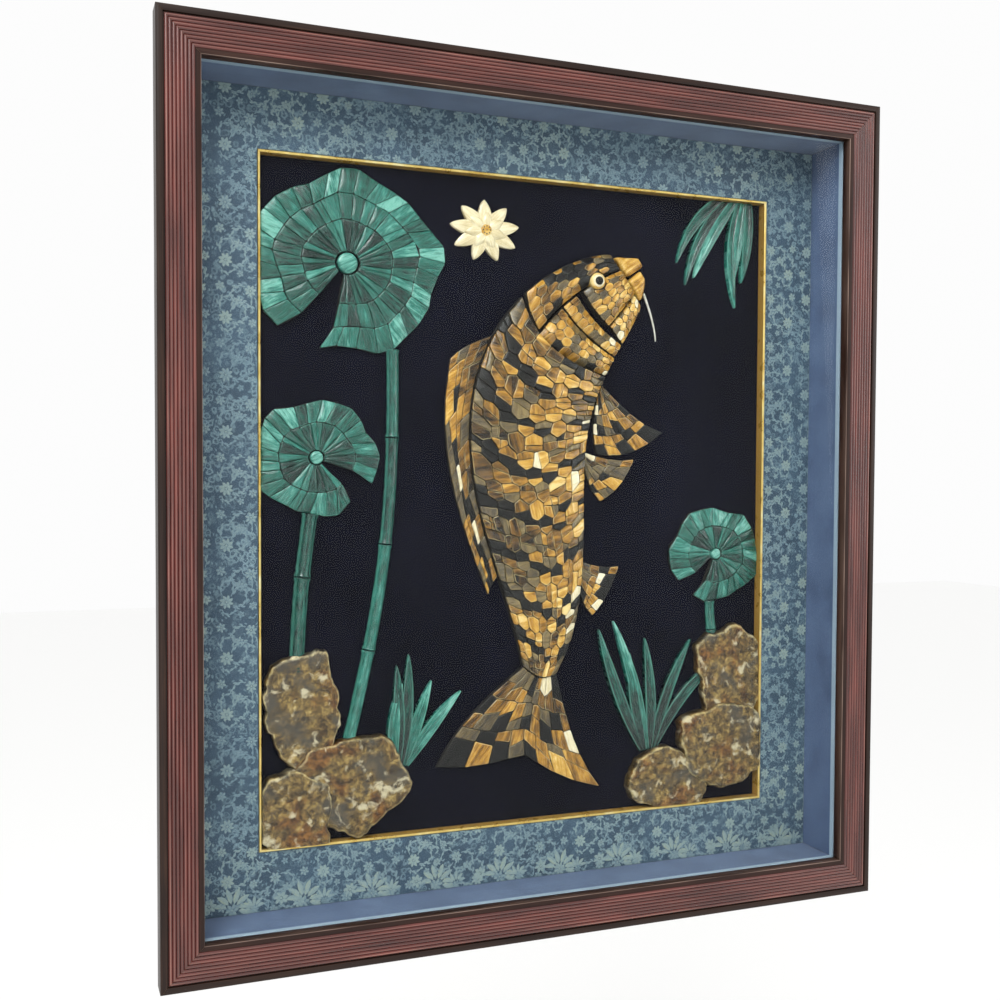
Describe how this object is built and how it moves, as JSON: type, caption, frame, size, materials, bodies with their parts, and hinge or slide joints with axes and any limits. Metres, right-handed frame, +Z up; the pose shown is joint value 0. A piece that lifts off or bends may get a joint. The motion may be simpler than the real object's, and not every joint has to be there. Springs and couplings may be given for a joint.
{
  "type": "mosaic panel",
  "caption": "Glazed shadow-box frame with a brocade mat, gold fillet and a relief picture of cut stones on velvet, made to hang on a wall.",
  "frame": {"origin": "middle of the panel's flat back, where it lies on the wall", "axes": "+Y into the wall, +Z up the panel, +X to the viewer's right; the glass faces -Y"},
  "size_m": [0.888, 0.1, 1],
  "materials": {
    "frame": "semi-gloss mahogany stain",
    "box_wall": "plain blue cloth",
    "glass_pane": "clear polished",
    "back_board": "plain board",
    "velvet_board": "black-blue velvet",
    "brocade_mat": "blue brocade with pale scrolling flowers",
    "fillet": "gold leaf",
    "carp_body": "polished tiger's eye and onyx, opaque",
    "carp_plate": "polished tiger's eye, opaque",
    "carp_eye": "polished onyx, opaque",
    "carp_fin": "polished tiger's eye, opaque",
    "carp_barbel": "silvery wire",
    "leaf": "polished green stone, opaque",
    "rock": "honed brown stone, opaque",
    "stalk": "polished green stone, opaque",
    "reed_tuft": "polished green stone, opaque",
    "blossom_petals": "polished cream shell, opaque",
    "blossom_pod": "polished yellow stone, opaque"
  },
  "bodies": {
    "root": {"frame_bottom": "frame", "frame_right": "frame", "frame_top": "frame", "frame_left": "frame", "box_wall_bottom": "box_wall", "box_wall_right": "box_wall", "box_wall_top": "box_wall", "box_wall_left": "box_wall", "glass_pane": "glass_pane", "back_board": "back_board", "velvet_board": "velvet_board", "brocade_mat": "brocade_mat", "fillet_bottom": "fillet", "fillet_right": "fillet", "fillet_top": "fillet", "fillet_left": "fillet", "carp_body": "carp_body", "carp_upper_lip": "carp_plate", "carp_lower_lip": "carp_plate", "carp_crown_plate": "carp_plate", "carp_cheek_plate": "carp_plate", "carp_jaw_plate": "carp_plate", "carp_gill_front": "carp_plate", "carp_gill_cover": "carp_plate", "carp_eye": "carp_eye", "carp_tail_fin": "carp_fin", "carp_dorsal_fin": "carp_fin", "carp_pectoral_fin": "carp_fin", "carp_pelvic_fin": "carp_fin", "carp_anal_fin": "carp_fin", "carp_barbel": "carp_barbel", "leaf_large": "leaf", "leaf_large_heart": "leaf", "leaf_middle": "leaf", "leaf_middle_heart": "leaf", "leaf_small": "leaf", "leaf_small_heart": "leaf", "rock_left_back": "rock", "rock_left_middle": "rock", "rock_left_front": "rock", "rock_right_back": "rock", "rock_right_low": "rock", "rock_right_middle": "rock", "stalk_left": "stalk", "stalk_middle": "stalk", "stalk_right": "stalk", "reed_tuft_right": "reed_tuft", "reed_tuft_left": "reed_tuft", "willow_spray": "reed_tuft", "blossom_petals": "blossom_petals", "blossom_pod": "blossom_pod"}
  },
  "joints": []
}
